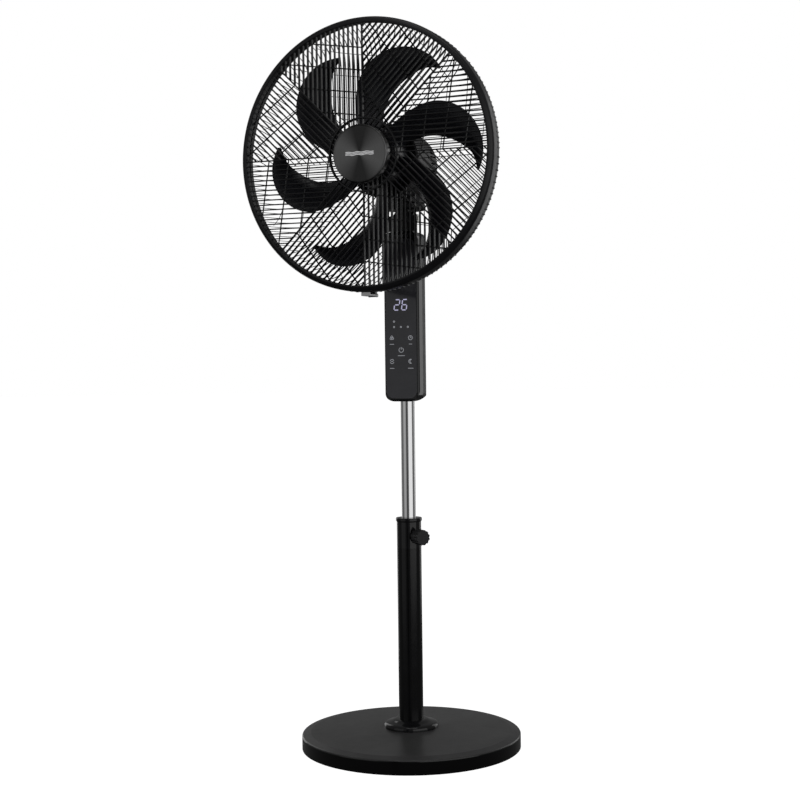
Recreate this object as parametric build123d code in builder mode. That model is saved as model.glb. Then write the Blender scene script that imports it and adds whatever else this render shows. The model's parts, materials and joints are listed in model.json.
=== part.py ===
from build123d import *
import os
from math import cos, pi, radians, sin, sqrt

# Pedestal fan, millimetres. Origin: floor, on the post axis. +Z up, the fan faces -Y.

os.makedirs("parts", exist_ok=True)

# ---- driving dimensions ----------------------------------------------------------
base_r = 193.0              # base disc radius
base_h = 35.0               # base height in the middle
shoulder_z = 28.5           # height where the shallow cone of the top meets the bevel
crown_r = 52.0              # flat middle under the pole
base_wall = 2.4             # base cover wall
bevel_w, bevel_h = 16.0, 3.0        # gentle bevel round the top of the base
weight_r, weight_z0, weight_z1 = 150.0, 9.0, 15.5
pole_r, pole_bore_r = 21.5, 20.1    # outer tube
pole_top = 352.0            # where the outer tube ends inside the collar
collar_z0, collar_z1 = 335.0, 405.0
mast_r, mast_bore_r = 12.5, 11.3    # chrome inner tube
mast_z0, mast_z1 = 228.0, 880.0
bush_z0 = 345.0
knob_z = 374.0              # height knob axis
knob_angle = -40.0          # bearing of the knob, from +X
knob_r = 13.5
knob_start, knob_end = 32.0, 52.0   # distance of the grip from the post axis

column_w = 65.0             # control column width
column_front, column_back = -26.0, 22.0
column_z0, column_z1 = 610.0, 906.0
column_wall = 2.2
column_seam = -6.0          # plane between the front and rear shells
plan_front_round, plan_rear_round = 5.0, 17.0       # corner radii seen from above
view_low_round, view_high_round = 18.0, 16.0        # seen from the front
chin_front_round, chin_rear_round = 5.0, 32.0       # seen from the side, at the bottom
brow_front_round, brow_rear_round = 6.0, 15.0       # and at the top
panel_w, panel_z0, panel_z1, panel_t = 58.0, 615.5, 893.0, 1.2
panel_round = 14.0
digit_z = 778.0             # centre of the two-digit display
key_rows = ((721.0, (-17.5, 17.5)), (700.0, (0.0,)), (680.0, (-17.5, 17.5)))

tilt_z = 930.0              # tilt axis height
tilt_pin_r = 4.0
tongue_w = 19.4             # neck tongue between the fork ears
ear_t = 8.5
neck_disc_r, neck_disc_z0, neck_disc_z1 = 36.0, 944.0, 954.0
boss_r = 34.0               # bearing boss under the motor housing
spindle_r = 6.0
gear_z0, gear_z1 = 976.0, 981.0
gear_module = 1.0
gear_teeth, pinion_teeth = 36, 12

hub_z = 1020.0              # impeller axis height
housing_r = 60.0            # motor housing radius
housing_wall = 2.4
plate_f0, plate_f1 = 89.0, 92.0     # front plate of the motor housing
housing_seam_f = 40.0
nose_r, nose_f1 = 22.0, 101.0
shaft_r, shaft_f0, shaft_f1 = 4.0, 46.0, 171.0
stator_f0, stator_f1 = 62.0, 80.0

ring_r = 225.0              # outside radius of both guards
ring_bore_r = 214.7
rear_bore_r = 219.0         # bore of the rear guard's rim
tooth_h = 0.7               # rib ends stand proud of the rear rim
guard_seam = 160.0          # plane where the two guards meet, forward of the post
basket = ((60.0, 93.6), (175.0, 97.5), (208.0, 110.0), (220.5, 147.0))    # rear guard, outside
basket_t = 4.0
grille_f0, grille_f1 = 177.0, 183.0  # depth of the front ribs
rib_pitch, rib_w = 24.6, 3.0
rib_count = 7               # ribs in each of the eight sectors
sectors = 8
bar_w, bar_t = 1.8, 1.8
bar_starts = (101.0, 175.0)
bar_lean = 81.5             # angle between a sector's ribs and its cross bars
badge_r, badge_front = 48.0, 196.0
eye_r = 61.5                # thin ring round the badge
blade_count = 6
blade_phase = 2.8           # turn of the stored impeller about its axis, degrees
blade_mid_f = 127.0
blade_t = 2.6
hub_r, hub_f0, hub_f1, hub_wall = 50.0, 108.0, 168.0, 3.0
latch_y, latch_z, latch_w = -146.0, 790.2, 16.0

gap = 0.1                   # assembly clearance inside one body

# The head plane: local x is +X, local y is +Z, local z runs forward along the impeller axis.
head = Plane(origin=(0, 0, hub_z), x_dir=(1, 0, 0), z_dir=(0, -1, 0))
# The knob plane: local z runs out along the knob screw.
knob_dir = Vector(cos(radians(knob_angle)), sin(radians(knob_angle)), 0)
knob_plane = Plane(origin=(0, 0, knob_z), x_dir=(0, 0, 1), z_dir=knob_dir)
tilt_plane = Plane(origin=(0, 0, tilt_z), x_dir=(0, 1, 0), z_dir=(1, 0, 0))


# ---- helpers, each called inside a part being built ------------------------------
def ring(plane, start, end, outer, inner=0.0, mode=Mode.ADD):
    """A disc, or a ring with a bore, between two heights above a plane."""
    with BuildSketch(plane.offset(start)) as outline:
        Circle(outer)
        if inner > 0:
            Circle(inner, mode=Mode.SUBTRACT)
    extrude(outline.sketch, amount=end - start, mode=mode)


def pegs(plane, points, start, end, radius, mode=Mode.ADD):
    """Equal round pegs standing on a plane at the given points."""
    with BuildSketch(plane.offset(start)) as outline:
        with Locations(*points):
            Circle(radius)
    extrude(outline.sketch, amount=end - start, mode=mode)


def block(plane, start, end, width, height, centre=(0.0, 0.0), mode=Mode.ADD):
    """A rectangular block between two heights above a plane."""
    with BuildSketch(plane.offset(start)) as outline:
        with Locations(centre):
            Rectangle(width, height)
    extrude(outline.sketch, amount=end - start, mode=mode)


def turned(points, axis=Axis.Z, plane=Plane.XZ, mode=Mode.ADD):
    """A solid of revolution from the corners of its half section."""
    with BuildSketch(plane) as outline:
        with BuildLine():
            Polyline(*points, close=True)
        make_face()
    revolve(outline.sketch, axis=axis, mode=mode)


def polar(radius, degrees):
    """Point at a distance and bearing, as plane coordinates."""
    return (radius * cos(radians(degrees)), radius * sin(radians(degrees)))


def save(piece, name):
    """Label a finished piece and write it as its own file."""
    piece.part.label = name
    export_step(piece.part, "parts/" + name + ".step")


# ---- base ------------------------------------------------------------------------
flange_bolts = [polar(32.0, 45 + 90 * k) for k in range(4)]
pan_screws = [polar(165.0, 30 + 60 * k) for k in range(6)]
foot_spots = [polar(176.0, 60 * k) for k in range(6)]
rim_z = shoulder_z - bevel_h
skirt_z = 0.8               # lower edge of the cover

with BuildPart() as base_cover:
    with BuildSketch(Plane.XZ):
        with BuildLine():
            Polyline((0, base_h), (crown_r, base_h), (base_r - bevel_w, shoulder_z), (base_r - 2.5, rim_z))
            RadiusArc((base_r - 2.5, rim_z), (base_r, rim_z - 3.0), 3.0)
            Polyline((base_r, rim_z - 3.0), (base_r, skirt_z), (base_r - base_wall, skirt_z))
            Polyline((base_r - base_wall, skirt_z), (base_r - base_wall, rim_z - 3.5),
                     (base_r - bevel_w - 0.5, shoulder_z - base_wall), (crown_r, base_h - base_wall),
                     (0, base_h - base_wall), (0, base_h))
        make_face()
    revolve(axis=Axis.Z)
    pegs(Plane.XY, pan_screws, 4.6, shoulder_z - 1.0, 4.5)
    pegs(Plane.XY, pan_screws, 2.0, 16.0, 1.6, Mode.SUBTRACT)
    pegs(Plane.XY, flange_bolts, 15.7, base_h, 5.0)
    pegs(Plane.XY, flange_bolts, 10.0, base_h + 1, 2.6, Mode.SUBTRACT)
save(base_cover, "base_cover")

with BuildPart() as base_pan:
    ring(Plane.XY, 2.2, 4.4, base_r - base_wall - 0.4)
    pegs(Plane.XY, pan_screws, 2.0, 5.0, 1.8, Mode.SUBTRACT)
    pegs(Plane.XY, foot_spots, 2.0, 3.2, 8.1, Mode.SUBTRACT)
save(base_pan, "base_pan")

with BuildPart() as base_weight:
    ring(Plane.XY, weight_z0, weight_z1, weight_r, 12.0)
    for spot in (0, 120, 240):
        pegs(Plane.XY, [polar(90.0, spot)], 4.5, weight_z0, 10.0)
    fillet(base_weight.edges().filter_by(GeomType.CIRCLE).group_by(Axis.Z)[-1].sort_by(SortBy.RADIUS)[-1],
           2.0)
    pegs(Plane.XY, flange_bolts, 0.0, 30.0, 2.5, Mode.SUBTRACT)
save(base_weight, "base_weight")

with BuildPart() as base_feet:
    pegs(Plane.XY, foot_spots, 0.0, 3.1, 8.0)
    chamfer(base_feet.edges().group_by(Axis.Z)[0], 0.6)
save(base_feet, "base_feet")

with BuildPart() as base_screws:
    pegs(Plane.XY, pan_screws, 1.0, 2.1, 3.4)
    pegs(Plane.XY, pan_screws, 2.1, 14.0, 1.5)
save(base_screws, "base_screws")

with BuildPart() as pole_flange:
    ring(Plane.XY, base_h + 0.05, base_h + 4.0, 40.0)
    ring(Plane.XY, base_h + 4.0, base_h + 10.0, pole_bore_r - gap, pole_bore_r - 3.0)
    pegs(Plane.XY, flange_bolts, base_h, base_h + 5.0, 2.6, Mode.SUBTRACT)
save(pole_flange, "pole_flange")

with BuildPart() as flange_screws:
    pegs(Plane.XY, flange_bolts, 9.5, base_h + 4.1, 2.4)
    pegs(Plane.XY, flange_bolts, base_h + 4.1, base_h + 7.0, 4.6)
save(flange_screws, "flange_screws")

escutcheon_top = base_h + 14.5
with BuildPart() as pole_escutcheon:
    with BuildSketch(Plane.XZ):
        with BuildLine():
            Line((48.0, base_h + 0.1), (48.0, base_h + 2.0))
            Spline((48.0, base_h + 2.0), (37.0, base_h + 10.5), (24.5, escutcheon_top),
                   tangents=((0, 1), (-1, 0.05)))
            Polyline((24.5, escutcheon_top), (pole_r + 0.15, escutcheon_top),
                     (pole_r + 0.15, escutcheon_top - 2.0), (25.0, escutcheon_top - 2.0))
            Spline((25.0, escutcheon_top - 2.0), (36.0, base_h + 8.6), (46.2, base_h + 2.0),
                   tangents=((1, -0.05), (0, -1)))
            Polyline((46.2, base_h + 2.0), (46.2, base_h + 0.1), (48.0, base_h + 0.1))
        make_face()
    revolve(axis=Axis.Z)
save(pole_escutcheon, "pole_escutcheon")

# ---- telescopic post -------------------------------------------------------------
with BuildPart() as outer_tube:
    ring(Plane.XY, base_h + 4.1, pole_top, pole_r, pole_bore_r)
save(outer_tube, "outer_tube")

with BuildPart() as height_collar:
    turned([(pole_bore_r - gap, collar_z0), (pole_bore_r - gap, pole_top + 0.1),
            (pole_r, pole_top + 0.1), (pole_r, collar_z1 - 7.0),
            (pole_r + 1.5, collar_z1 - 4.8), (pole_r + 1.5, collar_z1 - 1.0),
            (pole_r + 0.7, collar_z1), (mast_r + 0.5, collar_z1),
            (mast_r + 0.5, collar_z1 - 2.0), (mast_r + 4.0, collar_z1 - 2.0),
            (mast_r + 4.0, collar_z0)])
    ring(knob_plane, 18.5, 30.5, 10.0)
    fillet(height_collar.edges().filter_by(GeomType.CIRCLE).group_by(
        lambda e: round(e.center().dot(knob_dir), 1))[-1], 1.0)
    ring(Plane.XY, collar_z0 - 5.0, collar_z1 - 2.0, mast_r + 4.0, mode=Mode.SUBTRACT)
    ring(knob_plane, 14.0, 32.0, 4.05, mode=Mode.SUBTRACT)
save(height_collar, "height_collar")

with BuildPart() as collar_bush:
    ring(Plane.XY, bush_z0, collar_z1 - 2.2, mast_r + 4.0 - gap, mast_r + gap)
    ring(knob_plane, 10.0, 20.0, 4.4, mode=Mode.SUBTRACT)
save(collar_bush, "collar_bush")

with BuildPart() as height_knob:
    with BuildSketch(knob_plane.offset(knob_start)):
        Circle(knob_r)
        with PolarLocations(knob_r + 1.0, 12):
            Circle(2.2, mode=Mode.SUBTRACT)
    extrude(amount=knob_end - knob_start)
    fillet(height_knob.faces().sort_by(Axis(origin=(0, 0, 0), direction=knob_dir))[-1].edges(), 0.8)
    ring(knob_plane, 30.8, knob_start, 8.0)
    ring(knob_plane, 30.0, 44.0, 4.0, mode=Mode.SUBTRACT)
save(height_knob, "height_knob")

with BuildPart() as knob_screw:
    ring(knob_plane, mast_r + 0.4, 43.9, 3.95)
    chamfer(knob_screw.edges().group_by(lambda e: round(e.center().dot(knob_dir), 1))[0], 0.8)
save(knob_screw, "knob_screw")

with BuildPart() as inner_tube:
    ring(Plane.XY, mast_z0, mast_z1, mast_r, mast_bore_r)
save(inner_tube, "inner_tube")

with BuildPart() as mast_guide:
    ring(Plane.XY, mast_z0, mast_z0 + 20.0, pole_bore_r - gap, mast_r + 0.05)
    chamfer(mast_guide.edges().group_by(Axis.Z)[-1], 1.0)
save(mast_guide, "mast_guide")


# ---- control column --------------------------------------------------------------
def column_blank(inset):
    """Outer form of the control column, drawn in by inset on every side."""
    width = column_w - 2 * inset
    depth = column_back - column_front - 2 * inset
    mid_y = (column_front + column_back) / 2
    height = column_z1 - column_z0 - 2 * inset
    mid_z = (column_z0 + column_z1) / 2
    with BuildPart() as blank:
        with BuildSketch(Plane.XY.offset(column_z0 + inset)) as plan:
            with Locations((0, mid_y)):
                Rectangle(width, depth)
            fillet(plan.vertices().group_by(Axis.Y)[0], plan_front_round - inset)
            fillet(plan.vertices().group_by(Axis.Y)[-1], plan_rear_round - inset)
        extrude(amount=height)
        # In the two upright sketches, the sketch's own Y is the height.
        with BuildSketch(Plane.XZ.offset(-60)) as front_view:
            with Locations((0, mid_z)):
                Rectangle(width, height)
            fillet(front_view.vertices().group_by(Axis.Y)[0], view_low_round - inset)
            fillet(front_view.vertices().group_by(Axis.Y)[-1], view_high_round - inset)
        extrude(amount=120, mode=Mode.INTERSECT)
        with BuildSketch(Plane.YZ.offset(-60)) as side_view:
            with Locations((mid_y, mid_z)):
                Rectangle(depth, height)
            fillet(side_view.vertices().group_by(Axis.Y)[0].sort_by(Axis.X)[0], chin_front_round - inset)
            fillet(side_view.vertices().group_by(Axis.Y)[0].sort_by(Axis.X)[-1], chin_rear_round - inset)
            fillet(side_view.vertices().group_by(Axis.Y)[-1].sort_by(Axis.X)[0], brow_front_round - inset)
            fillet(side_view.vertices().group_by(Axis.Y)[-1].sort_by(Axis.X)[-1], brow_rear_round - inset)
        extrude(amount=120, mode=Mode.INTERSECT)
    return blank.part


column_outer = column_blank(0.0)
column_inner = column_blank(column_wall)
seam_plane = Plane.XZ.offset(-column_seam)
column_bosses = [(x, z) for x in (-22.0, 22.0) for z in (648.0, 868.0)]
fork_w, fork_d = tongue_w + 0.6 + 2 * ear_t, 24.0

with BuildPart() as control_box_front:
    add(column_outer)
    add(column_inner, mode=Mode.SUBTRACT)
    pegs(Plane.XZ, column_bosses, -15.0, 24.5, 4.0)
    pegs(Plane.XZ, column_bosses, -15.0, 19.0, 1.55, Mode.SUBTRACT)
    split(bisect_by=seam_plane, keep=Keep.TOP)
    with BuildSketch(Plane.XZ.offset(-column_front - panel_t)):
        with Locations((0, (panel_z0 + panel_z1) / 2)):
            RectangleRounded(panel_w, panel_z1 - panel_z0, panel_round)
    extrude(amount=5.0, mode=Mode.SUBTRACT)
    ring(Plane.XY, column_z0 - 5, column_z0 + 25, mast_r + 0.15, mode=Mode.SUBTRACT)
    block(Plane.XY, column_z1 - 5, column_z1 + 5, fork_w + 0.6, fork_d + 0.6, mode=Mode.SUBTRACT)
save(control_box_front, "control_box_front")

inlet_z = 665.0
with BuildPart() as control_box_rear:
    add(column_outer)
    add(column_inner, mode=Mode.SUBTRACT)
    pegs(Plane.XZ, column_bosses, -20.5, 15.0, 4.0)
    add(column_outer, mode=Mode.INTERSECT)
    pegs(Plane.XZ, column_bosses, -16.0, 15.0, 1.7, Mode.SUBTRACT)
    pegs(Plane.XZ, column_bosses, -25.0, -16.0, 3.2, Mode.SUBTRACT)
    split(bisect_by=seam_plane.offset(-0.1), keep=Keep.BOTTOM)
    ring(Plane.XY, column_z0 - 5, column_z0 + 25, mast_r + 0.15, mode=Mode.SUBTRACT)
    pegs(Plane.XZ, [(0.0, inlet_z)], -30.0, -15.0, 5.1, Mode.SUBTRACT)
    block(Plane.XY, column_z1 - 5, column_z1 + 5, fork_w + 0.6, fork_d + 0.6, mode=Mode.SUBTRACT)
    for row in range(5):
        block(Plane.XZ, -30.0, -17.0, 18.0, 2.0, (0.0, 700.0 + 7.0 * row), Mode.SUBTRACT)
save(control_box_rear, "control_box_rear")

with BuildPart() as control_panel:
    with BuildSketch(Plane.XZ.offset(-column_front - panel_t + 0.02)):
        with Locations((0, (panel_z0 + panel_z1) / 2)):
            RectangleRounded(panel_w - 2 * gap, panel_z1 - panel_z0 - 2 * gap, panel_round - gap)
    extrude(amount=panel_t)
save(control_panel, "control_panel")

board_f0 = 16.6             # rear face of the control board, forward of the post axis
board_f1 = board_f0 + 1.6
shell_f = -column_front - column_wall
with BuildPart() as control_board:
    block(Plane.XZ, board_f0, board_f1, 50.0, 130.0, (0.0, 728.0))
save(control_board, "control_board")

with BuildPart() as display_module:
    block(Plane.XZ, board_f1 + 0.05, shell_f - 0.2, 38.0, 26.0, (0.0, digit_z))
save(display_module, "display_module")

with BuildPart() as touch_springs:
    for row_z, places in key_rows:
        spots = [(x, row_z) for x in places]
        pegs(Plane.XZ, spots, board_f1 + 0.05, shell_f - 0.2, 5.0)
save(touch_springs, "touch_springs")

with BuildPart() as remote_receiver:
    block(Plane.XZ, board_f1 + 0.05, shell_f - 0.2, 7.0, 8.0, (0.0, 744.0))
save(remote_receiver, "remote_receiver")

with BuildPart() as power_board:
    block(Plane.XZ, -16.0, -14.4, 34.0, 110.0, (0.0, 770.0))
    for part_x, part_z, part_h in ((-8.0, 740.0, 8.0), (9.0, 805.0, 8.0)):
        block(Plane.XZ, -18.8, -16.0, part_h, 16.0, (part_x, part_z))
save(power_board, "power_board")

with BuildPart() as cord_grommet:
    pegs(Plane.XZ, [(0.0, inlet_z)], -column_back - 0.05, -14.2, 5.0)
    pegs(Plane.XZ, [(0.0, inlet_z)], -column_back - 2.0, -column_back - 0.05, 7.0)
    pegs(Plane.XZ, [(0.0, inlet_z)], -30.0, -10.0, 3.2, Mode.SUBTRACT)
save(cord_grommet, "cord_grommet")

with BuildPart() as column_screws:
    pegs(Plane.XZ, column_bosses, -15.9, 18.0, 1.5)
    pegs(Plane.XZ, column_bosses, -17.8, -16.05, 3.0)
save(column_screws, "column_screws")

# ---- tilt joint and neck ---------------------------------------------------------
ear_x0 = tongue_w / 2 + 0.3
ear_x1 = ear_x0 + ear_t
saddle_z = tilt_z - 13.4    # floor between the ears, just under the tongue
apron_w, apron_y0 = 56.0, -24.0     # cover plate in front of the tilt joint
with BuildPart() as tilt_fork:
    ring(Plane.XY, mast_z1 - 40.0, mast_z1, mast_bore_r - gap)
    ring(Plane.XY, mast_z1 + 0.05, mast_z1 + 6.0, mast_r + 3.0)
    ring(Plane.XY, mast_z1 - 0.5, mast_z1 + 0.5, mast_bore_r - gap)
    block(Plane.XY, mast_z1 + 6.0, saddle_z, fork_w, fork_d)
    for side in (-1, 1):
        ear_mid = side * (ear_x0 + ear_x1) / 2
        block(Plane.XY, saddle_z, tilt_z, ear_t, fork_d, (ear_mid, 0.0))
        ring(tilt_plane, ear_mid - ear_t / 2, ear_mid + ear_t / 2, fork_d / 2)
    fillet(tilt_fork.edges().filter_by(Axis.Z).group_by(Axis.X)[0], 2.0)
    fillet(tilt_fork.edges().filter_by(Axis.Z).group_by(Axis.X)[-1], 2.0)
    block(Plane.XY, column_z1 + 0.3, saddle_z, fork_w - 6.0, 14.0, (0.0, apron_y0 + 13.0))
    block(Plane.XY, column_z1 + 0.3, tilt_z + 3.0, apron_w, 7.0, (0.0, apron_y0 + 3.5))
    ring(tilt_plane, -40.0, 40.0, tilt_pin_r + 0.02, mode=Mode.SUBTRACT)
save(tilt_fork, "tilt_fork")

with BuildPart() as tilt_bolt:
    ring(tilt_plane, -ear_x1 - 0.05, ear_x1 + 7.0, tilt_pin_r)
    ring(tilt_plane, -ear_x1 - 4.5, -ear_x1 - 0.05, 7.5)
    fillet(tilt_bolt.edges().group_by(Axis.X)[0], 1.5)
save(tilt_bolt, "tilt_bolt")

with BuildPart() as tilt_nut:
    with BuildSketch(tilt_plane.offset(ear_x1 + 0.05)):
        RegularPolygon(7.5, 6)
        Circle(tilt_pin_r + 0.05, mode=Mode.SUBTRACT)
    extrude(amount=6.0)
save(tilt_nut, "tilt_nut")

with BuildPart() as neck:
    ring(tilt_plane, -tongue_w / 2, tongue_w / 2, 12.5)
    block(Plane.XY, tilt_z, neck_disc_z0 + 1.0, tongue_w, 25.0)
    ring(Plane.XY, neck_disc_z0, neck_disc_z1, neck_disc_r)
    rims = neck.edges().filter_by(GeomType.CIRCLE).filter_by(lambda e: abs(e.radius - neck_disc_r) < 0.01)
    fillet(rims.sort_by(Axis.Z)[-1], 1.5)
    fillet(rims.sort_by(Axis.Z)[0], 4.0)
    ring(tilt_plane, -40.0, 40.0, tilt_pin_r + 0.05, mode=Mode.SUBTRACT)
    ring(Plane.XY, tilt_z + 8.0, 960.0, spindle_r + 0.02, mode=Mode.SUBTRACT)
save(neck, "neck")

with BuildPart() as thrust_washer:
    ring(Plane.XY, neck_disc_z1 + 0.05, neck_disc_z1 + 1.5, 22.0, spindle_r + 0.3)
save(thrust_washer, "thrust_washer")

boss_z0 = neck_disc_z1 + 1.8     # underside of the head's bearing boss
with BuildPart() as pan_spindle:
    ring(Plane.XY, tilt_z + 8.2, gear_z1 + 9.0, spindle_r)
    chamfer(pan_spindle.edges().group_by(Axis.Z)[-1], 0.8)
save(pan_spindle, "pan_spindle")


def gear_outline(teeth, phase):
    """Involute-like tooth outline: teeth tapering from root to tip, with a little backlash."""
    pitch_r = gear_module * teeth / 2
    root_r, tip_r = pitch_r - 1.2 * gear_module, pitch_r + 0.9 * gear_module
    pitch_angle = 360.0 / teeth
    stations = ((root_r, 0.32), (pitch_r, 0.225), (tip_r, 0.11))
    corners = []
    for tooth in range(teeth):
        middle = phase + tooth * pitch_angle
        corners += [polar(r, middle - half * pitch_angle) for r, half in stations]
        corners += [polar(r, middle + half * pitch_angle) for r, half in reversed(stations)]
    return corners


with BuildPart() as pan_gear:
    with BuildSketch(Plane.XY.offset(gear_z0)):
        with BuildLine():
            Polyline(*gear_outline(gear_teeth, -90.0), close=True)
        make_face()
    extrude(amount=gear_z1 - gear_z0)
    ring(Plane.XY, gear_z0, gear_z1 + 4.0, 9.0)
    ring(Plane.XY, 970.0, 995.0, spindle_r + 0.02, mode=Mode.SUBTRACT)
save(pan_gear, "pan_gear")

with BuildPart() as spindle_clip:
    ring(Plane.XY, gear_z1 + 4.2, gear_z1 + 5.6, 9.0, spindle_r + 0.05)
    block(Plane.XY, gear_z1 + 4.0, gear_z1 + 6.0, 20.0, 5.0, (10.0, 0.0), Mode.SUBTRACT)
save(spindle_clip, "spindle_clip")

# ---- swing drive -----------------------------------------------------------------
pinion_y = -gear_module * (gear_teeth + pinion_teeth) / 2
pinion_plane = Plane(origin=(0, pinion_y, 0), x_dir=(1, 0, 0), z_dir=(0, 0, 1))
with BuildPart() as swing_pinion:
    with BuildSketch(pinion_plane.offset(gear_z0)):
        with BuildLine():
            Polyline(*gear_outline(pinion_teeth, 90.0 + 180.0 / pinion_teeth), close=True)
        make_face()
    extrude(amount=gear_z1 - gear_z0)
    ring(pinion_plane, gear_z1, gear_z1 + 12.0, 2.5)
save(swing_pinion, "swing_pinion")

bracket_z = gear_z1 + 1.6
bracket_posts = [(-22.0, pinion_y), (22.0, pinion_y)]
with BuildPart() as swing_bracket:
    block(Plane.XY, bracket_z, bracket_z + 2.0, 54.0, 14.0, (0.0, pinion_y))
    ring(pinion_plane, 970.0, 990.0, 4.0, mode=Mode.SUBTRACT)
    pegs(Plane.XY, bracket_posts, 970.0, 990.0, 1.7, Mode.SUBTRACT)
save(swing_bracket, "swing_bracket")

with BuildPart() as swing_motor:
    ring(pinion_plane, bracket_z + 2.05, bracket_z + 20.0, 14.0)
    fillet(swing_motor.edges().group_by(Axis.Z)[-1], 1.5)
    ring(pinion_plane, 970.0, gear_z1 + 12.3, 2.55, mode=Mode.SUBTRACT)
save(swing_motor, "swing_motor")

with BuildPart() as bracket_screws:
    pegs(Plane.XY, bracket_posts, 974.0, bracket_z + 2.05, 1.5)
    pegs(Plane.XY, bracket_posts, bracket_z + 2.05, bracket_z + 3.6, 3.0)
save(bracket_screws, "bracket_screws")

# ---- motor housing ---------------------------------------------------------------
housing_bolts = [polar(52.0, 45 + 90 * k) for k in range(4)]
rear_curve = ((housing_r, housing_seam_f), (housing_r - 0.8, 0.0), (50.0, -24.0), (30.0, -36.0), (0.0, -39.0))


def rear_dome(inset):
    """Closed dome of the rear housing about the impeller axis, drawn in by inset."""
    outline = [(max(r - inset, 0.0), f if f > 0 else f + inset) for r, f in rear_curve]
    with BuildPart() as dome:
        with BuildSketch(Plane(origin=(0, 0, hub_z), x_dir=(1, 0, 0), z_dir=(0, 0, 1))):
            with BuildLine():
                Spline(*[(r, -f) for r, f in outline], tangents=((0, 1), (-1, 0)))
                Polyline((0, -outline[-1][1]), (0, -housing_seam_f), (outline[0][0], -housing_seam_f))
            make_face()
        revolve(axis=Axis(origin=(0, 0, hub_z), direction=(0, 1, 0)))
    return dome.part


dome_outer = rear_dome(0.0)
dome_inner = rear_dome(housing_wall)
with BuildPart() as motor_housing_rear:
    add(dome_outer)
    ring(Plane.XY, boss_z0, hub_z - 20.0, boss_r)
    add(dome_inner, mode=Mode.SUBTRACT)
    ring(Plane.XY, boss_z0 + 1.0, gear_z0 - 1.5, 11.0)
    pegs(Plane.XY, bracket_posts, 964.0, bracket_z - 0.05, 3.5)
    pegs(Plane.XY, bracket_posts, 973.0, 990.0, 1.6, Mode.SUBTRACT)
    ring(Plane.XY, 950.0, 990.0, spindle_r + 0.05, mode=Mode.SUBTRACT)
    for row in range(9):
        for side in (-1, 1):
            block(Plane.YZ, side * 40.0, side * 70.0, 22.0, 2.4, (-16.0, hub_z - 24.0 + 6.0 * row),
                  Mode.SUBTRACT)
save(motor_housing_rear, "motor_housing_rear")

with BuildPart() as motor_housing_front:
    ring(head, housing_seam_f + 0.1, plate_f1, housing_r)
    fillet(motor_housing_front.edges().group_by(Axis.Y)[0], 4.0)
    ring(head, housing_seam_f - 1, plate_f0, housing_r - housing_wall, mode=Mode.SUBTRACT)
    ring(head, plate_f0 - 6.0, nose_f1, nose_r)
    ring(head, plate_f0 - 10.0, nose_f1 - 3.0, 11.05, mode=Mode.SUBTRACT)
    ring(head, plate_f0, nose_f1 + 2.0, 7.0, mode=Mode.SUBTRACT)
    pegs(head, housing_bolts, housing_seam_f + 8.0, plate_f0, 4.0)
    pegs(head, housing_bolts, housing_seam_f, plate_f0 - 1.0, 1.6, Mode.SUBTRACT)
save(motor_housing_front, "motor_housing_front")

with BuildPart() as motor_end_plate:
    ring(head, housing_seam_f + 5.0, housing_seam_f + 7.9, 57.0)
    ring(head, housing_seam_f + 7.9, housing_seam_f + 16.0, 12.0)
    ring(head, 0.0, 70.0, 8.05, mode=Mode.SUBTRACT)
    pegs(head, housing_bolts, 30.0, 60.0, 1.7, Mode.SUBTRACT)
save(motor_end_plate, "motor_end_plate")

with BuildPart() as end_plate_screws:
    pegs(head, housing_bolts, housing_seam_f + 4.9, 70.0, 1.5)
    pegs(head, housing_bolts, housing_seam_f + 3.0, housing_seam_f + 4.9, 3.0)
save(end_plate_screws, "end_plate_screws")

with BuildPart() as front_bearing:
    ring(head, nose_f1 - 10.0, nose_f1 - 3.1, 11.0, shaft_r + 0.05)
save(front_bearing, "front_bearing")

with BuildPart() as rear_bearing:
    ring(head, housing_seam_f + 9.0, housing_seam_f + 15.0, 8.0, shaft_r + 0.05)
save(rear_bearing, "rear_bearing")

# The stator: a laminated ring with twelve teeth reaching in to the rotor.
tooth_count = 12
with BuildPart() as stator_core:
    with BuildSketch(head.offset(stator_f0)):
        Circle(47.0)
        Circle(41.0, mode=Mode.SUBTRACT)
        with PolarLocations(34.0, tooth_count):
            Rectangle(16.0, 5.0)
        with PolarLocations(25.0, tooth_count):
            Rectangle(4.0, 10.0)
        Circle(23.0, mode=Mode.SUBTRACT)
    extrude(amount=stator_f1 - stator_f0)
save(stator_core, "stator_core")

with BuildPart() as stator_windings:
    with BuildSketch(head.offset(stator_f0 - 4.0)):
        with PolarLocations(34.0, tooth_count):
            Rectangle(12.0, 8.6)
    extrude(amount=stator_f1 - stator_f0 + 8.0)
    with BuildSketch(head.offset(stator_f0 - 0.1)):
        with PolarLocations(34.0, tooth_count):
            Rectangle(20.0, 5.2)
    extrude(amount=stator_f1 - stator_f0 + 0.2, mode=Mode.SUBTRACT)
save(stator_windings, "stator_windings")

with BuildPart() as motor_rotor:
    ring(head, stator_f0, stator_f1, 22.4, shaft_r + 0.03)
    chamfer(motor_rotor.edges().filter_by(GeomType.CIRCLE).sort_by(SortBy.RADIUS)[-2:], 0.8)
save(motor_rotor, "motor_rotor")

with BuildPart() as motor_shaft:
    ring(head, shaft_f0, shaft_f1, shaft_r)
    chamfer(motor_shaft.edges().filter_by(GeomType.CIRCLE), 0.5)
save(motor_shaft, "motor_shaft")


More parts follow.
